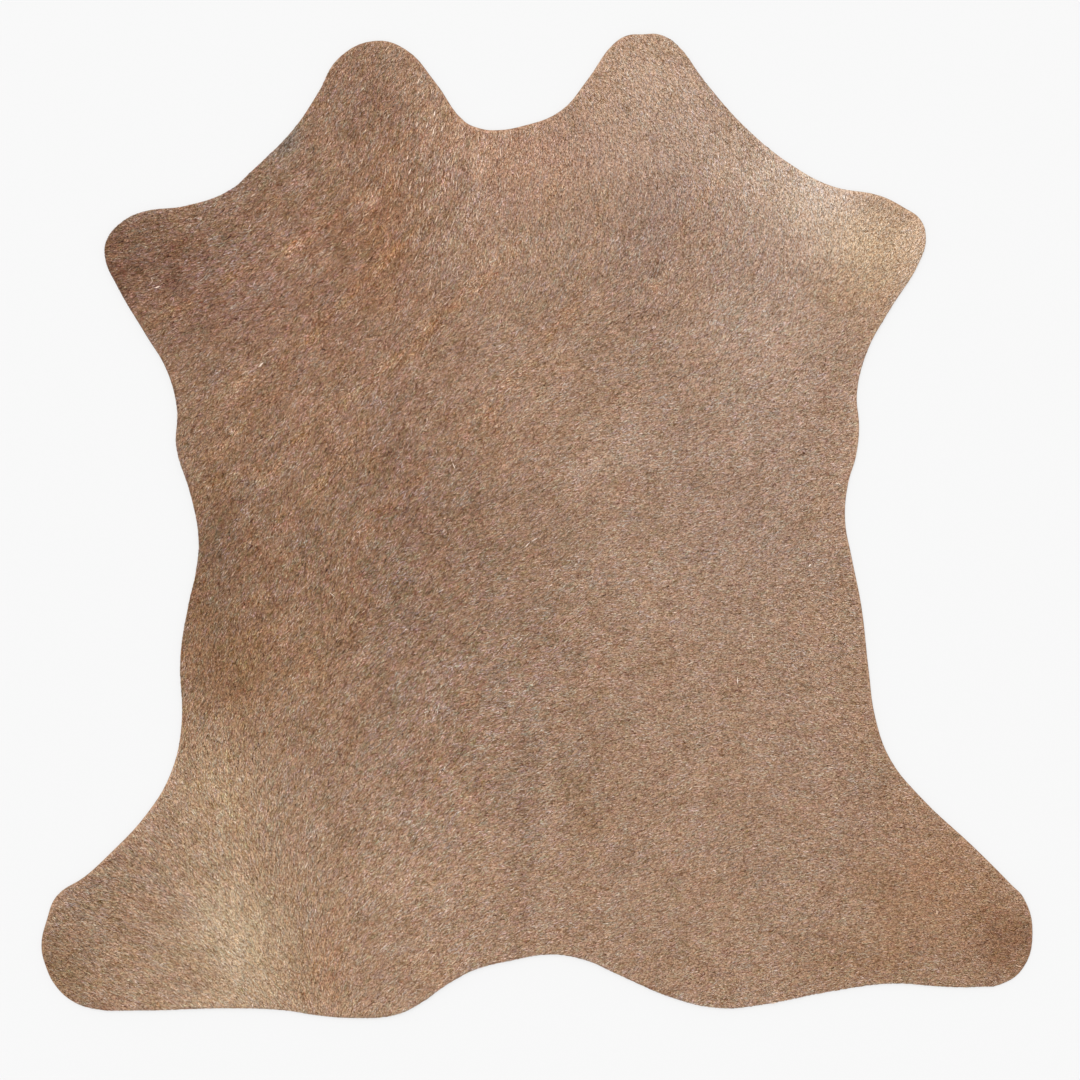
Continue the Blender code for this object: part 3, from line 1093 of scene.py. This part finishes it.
def hair_finish():
    """Each lock's colour, with painted shade towards the root and painted light towards the tip, broken up
    into single hairs.
    """
    finish = Finish("hair")
    dye_and_shade = finish.node("Attribute", {"attribute_name": "dye_and_shade"}, out="Color")
    reach = finish.node("Attribute", {"attribute_name": "reach"}, out="Fac")
    strand = finish.node("Attribute", {"attribute_name": "strand"}, out="Vector")
    place = finish.node("TexCoord", out="Object")
    shade = finish.mix(reach, (*ROOT_SHADE, 1), (*TIP_SHADE, 1))

    stretched = finish.node("VectorMath", {"operation": "MULTIPLY"}, strand, STRAND_STRETCH)
    singles = finish.node("TexNoise", None, Vector=stretched, Scale=1.0, Detail=1.0, Roughness=0.5)
    crossings = finish.node("TexNoise", None, Vector=place, Scale=680.0, Detail=1.0, Roughness=0.5)
    mixed = singles * STRAND_SHARE + crossings * (1 - STRAND_SHARE)
    hairs = finish.ramp(mixed, *zip(SINGLE_STOPS, (SINGLE_DARK, SINGLE_PALE)))
    shaded = finish.mix(1.0, shade, hairs, blend="MULTIPLY")
    colour = finish.mix(1.0, dye_and_shade, shaded, blend="MULTIPLY")
    return finish.surface(
        Base_Color=colour, Roughness=HAIR_ROUGHNESS, Specular_IOR_Level=HAIR_SPECULAR
    )


hair = hair_finish()
print("hair finished with", len(hair.node_tree.nodes), "nodes")

# %% Grow the coat
CLUMP_TURN = 7.0
CLUMP_PITCH = 11.0
LENGTH_SPREAD, LENGTH_LIMITS = 0.28, (0.45, 1.6)
WIDTH_SPREAD, WIDTH_LIMITS = 0.25, (0.5, 1.7)
RISE_SPREAD, RISE_LIMITS = 0.3, (0.2, 1.9)
WIDTH_AT_EDGE = 0.3
TRIM_SHADE = 0.20
LAYER_SEED = 100
RIM_SEED = 120


def finish_piece(piece, material):
    """Gives a piece of the coat its finish and fastens it to the hide."""
    piece.data.materials.append(material)
    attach(piece, "root")
    print(piece.name, len(piece.data.polygons), "triangles")
    return piece


def turned_ways(ways, turns):
    """Unit directions, each turned by its own angle."""
    east, north = ways.T
    return np.stack([
        east * np.cos(turns) - north * np.sin(turns),
        east * np.sin(turns) + north * np.cos(turns),
    ], 1)


def varied(count, spread, limits, chance):
    """A factor near 1 for each lock."""
    return np.clip(chance.normal(1, spread, count), *limits)


def grow_layer(name, roots, depths, chance, length, width, root, tip, tone, spread, turn):
    """One layer of the coat, a lock at each root."""
    count = len(roots)
    longer, wilder, mottling = growth_at(roots)
    clumped = smooth_noise(roots, CLUMP_PITCH, seed=31) * CLUMP_TURN
    turns = np.radians(chance.normal(0, turn, count) + clumped) * wilder
    ways = turned_ways(combed_way(roots), turns)
    lengths = length * longer * varied(count, LENGTH_SPREAD, LENGTH_LIMITS, chance)
    widths = width * varied(count, WIDTH_SPREAD, WIDTH_LIMITS, chance)
    widths = np.minimum(widths, 2 * depths + WIDTH_AT_EDGE)
    shares = share_left(roots, depths, ways, lengths)
    heights = underhair_height(roots) + root + creases_at(roots)[1]
    rises = (tip - root) * varied(count, RISE_SPREAD, RISE_LIMITS, chance) * shares
    dyes_and_shade = lock_dyes_and_shade(roots, tone, spread, mottling, chance)
    # Trimmed locks are darkened: partly the darker lower hair left by the cut, partly painted shade at the
    # cut edge.
    dyes_and_shade *= 1 - TRIM_SHADE * (1 - shares[:, None])
    piece = lay_locks(name, roots, heights, ways, lengths * shares, widths, rises, shares, dyes_and_shade)
    return finish_piece(piece, hair)


for number, (name, cell, *looks) in enumerate(LAYERS):
    chance = np.random.default_rng(LAYER_SEED + number)
    grow_layer(name, *scattered_roots(cell, chance), chance, *looks)

name, pitch, *looks = RIM_LAYER
chance = np.random.default_rng(RIM_SEED)
grow_layer(name, *rim_roots(pitch, RIM_REACH, chance), chance, *looks)

# %% [markdown]
# ## Loose hairs
#
# A few single pale hairs lie loose on the coat, some of them across the comb. Those that catch the
# eye are rows of a table; chance strews the others, about half of them beside the neck, where the
# pale hairs also stand in for glints of the coat as painted highlights. Each hair is two slim locks,
# root to root, so that it is pointed at both ends.

# %% Strew loose hairs
# Each row: place, x and y of its middle, heading, length, width, share of white
LOOSE_HAIRS = (
    ("left flank", -190, -64, -42, 9.0, 0.8, 0.65),
    ("right waist", 253, -37, 47, 4.5, 1.3, 0.90),
    ("right of the loin, faint", 200, -104, -84, 12.5, 0.8, 0.35),
    ("right of the loin", 186, -144, -88, 7.8, 1.0, 0.75),
    ("right hind leg, faint", 371, -359, -90, 6.5, 2.0, 0.25),
    ("left front leg, thin", -357, 228, -71, 6.5, 0.7, 0.50),
    ("left front leg, thick", -352, 221, 14, 7.5, 1.8, 0.60),
    ("tip of the left neck lobe", -110, 412, -116, 9.0, 1.2, 0.50),
    ("left neck lobe", -95, 382, -101, 7.0, 1.4, 0.70),
    ("left of the notch, high", -96, 365, -104, 8.5, 1.4, 0.55),
    ("left of the notch, middle", -88, 368, -108, 8.5, 1.2, 0.50),
    ("left of the notch, low", -102, 371, -110, 8.5, 1.2, 0.50),
    ("left of the notch, outer", -111, 372, -112, 8.0, 1.2, 0.45),
    ("left neck root", -118, 328, -118, 7.5, 1.6, 0.50),
    ("below the left neck root", -107, 311, -112, 8.0, 1.4, 0.55),
    ("left neck root, outer", -118, 313, -112, 6.5, 1.6, 0.50),
    ("left neck root, upper", -120, 341, -110, 6.5, 1.4, 0.50),
    ("back, upper half", -79, 61, -82, 5.0, 0.8, 0.40),
    ("back, lower half", -77, 55, -69, 8.5, 1.0, 0.65),
    ("middle, lower half", -9, -18, 45, 9.5, 1.0, 0.75),
    ("middle, upper half", -2, -13, 27, 8.5, 1.0, 0.70),
    ("left shoulder", -256, 149, -139, 8.5, 2.0, 0.65),
    ("left shoulder, spot", -262, 135, -139, 4.0, 1.8, 0.50),
    ("left shoulder, streak", -271, 142, -150, 11.0, 1.0, 0.30),
    ("left shoulder, upper streak", -251, 160, -145, 13.0, 1.0, 0.30),
)
HAIR_WHITE = np.array((214.0, 199.0, 189.0))
LOOSE_RISE = 1.5
LOOSE_SEED = 130

# The strewn hairs: how many of each kind are tried, and the ranges that chance draws from
STREWN_COUNT = 130
# Painted highlights in part: the hairs strewn beside the neck stand in for its pale glints.
NECK_MIDDLE, NECK_SPREAD = (-105, 320), (55, 75)
STREWN_TURN = 14
STREWN_LENGTHS = (6.0, 11.0)
STREWN_WIDTHS = (0.7, 1.2)
STREWN_WHITES = (0.1, 0.45)


def strewn_hairs(chance):
    """Rows like those of the table, for hairs that chance strews over the hide."""
    low, high = edge_starts.min(0), edge_starts.max(0)
    points = inside_only(chance.uniform(low, high, (STREWN_COUNT, 2)))[0]
    beside_neck = inside_only(chance.normal(NECK_MIDDLE, NECK_SPREAD, (STREWN_COUNT, 2)))[0]
    points = np.concatenate([points, beside_neck])
    count = len(points)
    combed = np.degrees(np.arctan2(*combed_way(points).T[::-1]))
    headings = combed + chance.normal(0, STREWN_TURN, count)
    ranges = (STREWN_LENGTHS, STREWN_WIDTHS, STREWN_WHITES)
    return np.column_stack([points, headings] + [chance.uniform(*ends, count) for ends in ranges])


def loose_finish():
    """The plain colour of a single hair, which beside the neck is partly a painted highlight."""
    finish = Finish("loose_hair")
    dye_and_shade = finish.node("Attribute", {"attribute_name": "dye_and_shade"}, out="Color")
    return finish.surface(Base_Color=dye_and_shade, Roughness=HAIR_ROUGHNESS, Specular_IOR_Level=HAIR_SPECULAR)


strewn = strewn_hairs(np.random.default_rng(LOOSE_SEED))
hairs = np.concatenate([[row[1:] for row in LOOSE_HAIRS], strewn])
middles, turns, whites = hairs[:, :2], np.radians(hairs[:, 2]), hairs[:, 5:]
ways = np.stack([np.cos(turns), np.sin(turns)], 1)
ways = np.concatenate([ways, -ways])
middles = np.concatenate([middles, middles])
halves = np.tile(hairs[:, 3] / 2, 2)
colours = TAUPE + patch_shift(middles)
colours += (HAIR_WHITE - colours) * np.tile(whites, (2, 1))
shares = share_left(middles, depth_inside(middles), ways, halves)
heights = underhair_height(middles) + LOOSE_RISE
loose = lay_locks(
    "loose_hairs", middles, heights, ways, halves * shares, np.tile(hairs[:, 4], 2),
    np.zeros(len(middles)), shares, linear_light(colours * SCREEN_TO_DYE)
)
finish_piece(loose, loose_finish())

# %% [markdown]
# ## Floor, light and camera
#
# The picture looks straight down on a nearly white ground with soft light from all round. One wide,
# soft sun gives every spot of the floor the same light, which a lamp at a distance wouldn't, and a
# white world fills the shadows. The hide's own shadow is faint there, as on a lit table, so the floor
# gives off more than half of its light itself.

# %% Lay the floor
FLOOR_REACH = 12.0
FLOOR_DROP = 0.3 * MM
FLOOR_WHITE = (0.16, 0.16, 0.16, 1.0)
FLOOR_GLOW = 0.591
floor_shape = bmesh.new()
bmesh.ops.create_grid(floor_shape, x_segments=1, y_segments=1, size=FLOOR_REACH)
bmesh.ops.translate(floor_shape, verts=floor_shape.verts, vec=(0, 0, -FLOOR_DROP))
floor_mesh = bpy.data.meshes.new("floor")
floor_shape.to_mesh(floor_mesh)
floor_shape.free()
floor = bpy.data.objects.new("floor", floor_mesh)
scene.collection.objects.link(floor)
floor_finish = Finish("floor_paper")
floor_mesh.materials.append(floor_finish.surface(
    Base_Color=FLOOR_WHITE, Roughness=0.9, Emission_Color=(1, 1, 1, 1), Emission_Strength=FLOOR_GLOW
))
print("floor laid", round(FLOOR_DROP / MM, 2), "mm below the hide")

# %% Light the hide
WORLD_STRENGTH = 1.13
SUN_STRENGTH = 2.97
SUN_SOFTNESS = 50
SUN_TILT = (radians(-18), radians(-8), 0)

world = bpy.data.worlds.new("studio")
world.use_nodes = True
background = world.node_tree.nodes["Background"]
background.inputs["Color"].default_value = (1, 1, 1, 1)
background.inputs["Strength"].default_value = WORLD_STRENGTH
scene.world = world
sun_lamp = bpy.data.lights.new("softbox", "SUN")
sun_lamp.energy = SUN_STRENGTH
sun_lamp.angle = radians(SUN_SOFTNESS)
sun = bpy.data.objects.new("softbox", sun_lamp)
sun.rotation_euler = SUN_TILT
scene.collection.objects.link(sun)
scene.view_settings.view_transform = "Standard"
print("a white world of", WORLD_STRENGTH, "and a sun of", SUN_STRENGTH, "light the hide")

# %% Set up the camera
VIEW_WIDTH = 1.0016
VIEW_CENTRE = (2.8 * MM, -13.4 * MM)
LENS = 90.0
SENSOR = 36.0
HAIR_TOP = 4.6 * MM

camera_data = bpy.data.cameras.new("camera")
camera_data.lens = LENS
camera_data.sensor_width = SENSOR
camera = bpy.data.objects.new("camera", camera_data)
camera.location = (*VIEW_CENTRE, HAIR_TOP + VIEW_WIDTH * LENS / SENSOR)
scene.collection.objects.link(camera)
scene.camera = camera
print("camera", round(camera.location.z, 3), "m above the floor")
